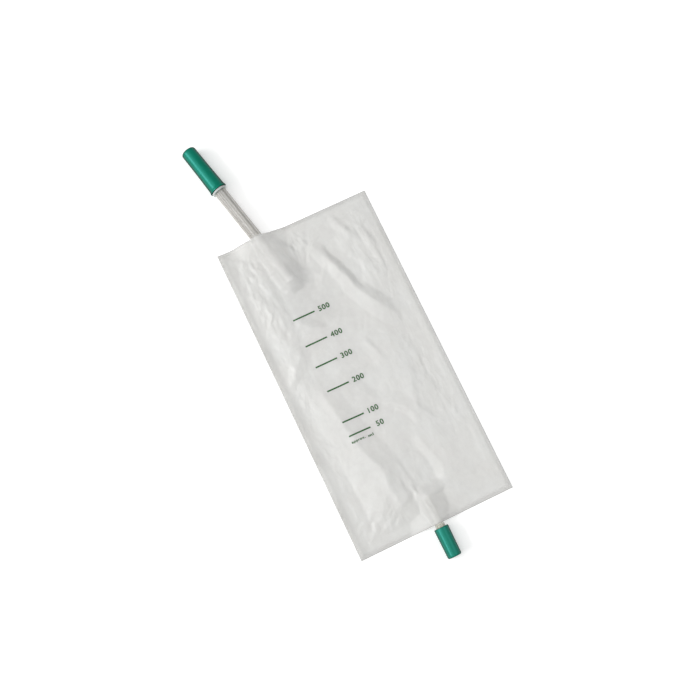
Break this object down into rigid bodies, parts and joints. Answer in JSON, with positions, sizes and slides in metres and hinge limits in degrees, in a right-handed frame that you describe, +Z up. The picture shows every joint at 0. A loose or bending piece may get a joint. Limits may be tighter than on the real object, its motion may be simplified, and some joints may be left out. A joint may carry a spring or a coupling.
{
  "type": "urine drainage bag",
  "caption": "Flat clear film bag with a welded seam, a capped inlet tube leaning out of its top edge, a capped outlet tube at the bottom and a printed volume scale.",
  "frame": {"origin": "centre of the back film's underside, on the surface that the bag lies on", "axes": "+Y along the bag from the outlet to the inlet end, +X across the bag to the right as the scale is read, +Z up from the surface"},
  "size_m": [0.12, 0.3517, 0.0134],
  "materials": {
    "front_film": "clear PVC film, glossy",
    "back_film": "clear PVC film, glossy",
    "valve_leaves": "thin clear PVC film, glossy",
    "inlet_tube": "clear soft PVC tube, glossy",
    "outlet_tube": "clear soft PVC tube, glossy",
    "inlet_connector": "natural polypropylene, satin",
    "inlet_cap": "green moulded plastic, satin",
    "outlet_cap": "green moulded plastic, satin"
  },
  "bodies": {
    "bag": {"front_film": "front_film", "back_film": "back_film", "valve_front_leaf": "valve_leaves", "valve_back_leaf": "valve_leaves", "inlet_tube": "inlet_tube", "inlet_connector": "inlet_connector", "outlet_tube": "outlet_tube"},
    "inlet_cap": {"inlet_cap": "inlet_cap"},
    "outlet_cap": {"outlet_cap": "outlet_cap"}
  },
  "joints": [
    {"name": "inlet_cap_pull", "type": "slide", "parent": "bag", "child": "inlet_cap", "axis": [-0.2232, 0.9747, 0.0147], "range_m": [0, 0.045]},
    {"name": "outlet_cap_pull", "type": "slide", "parent": "bag", "child": "outlet_cap", "axis": [0, -1, 0], "range_m": [0, 0.03]}
  ]
}
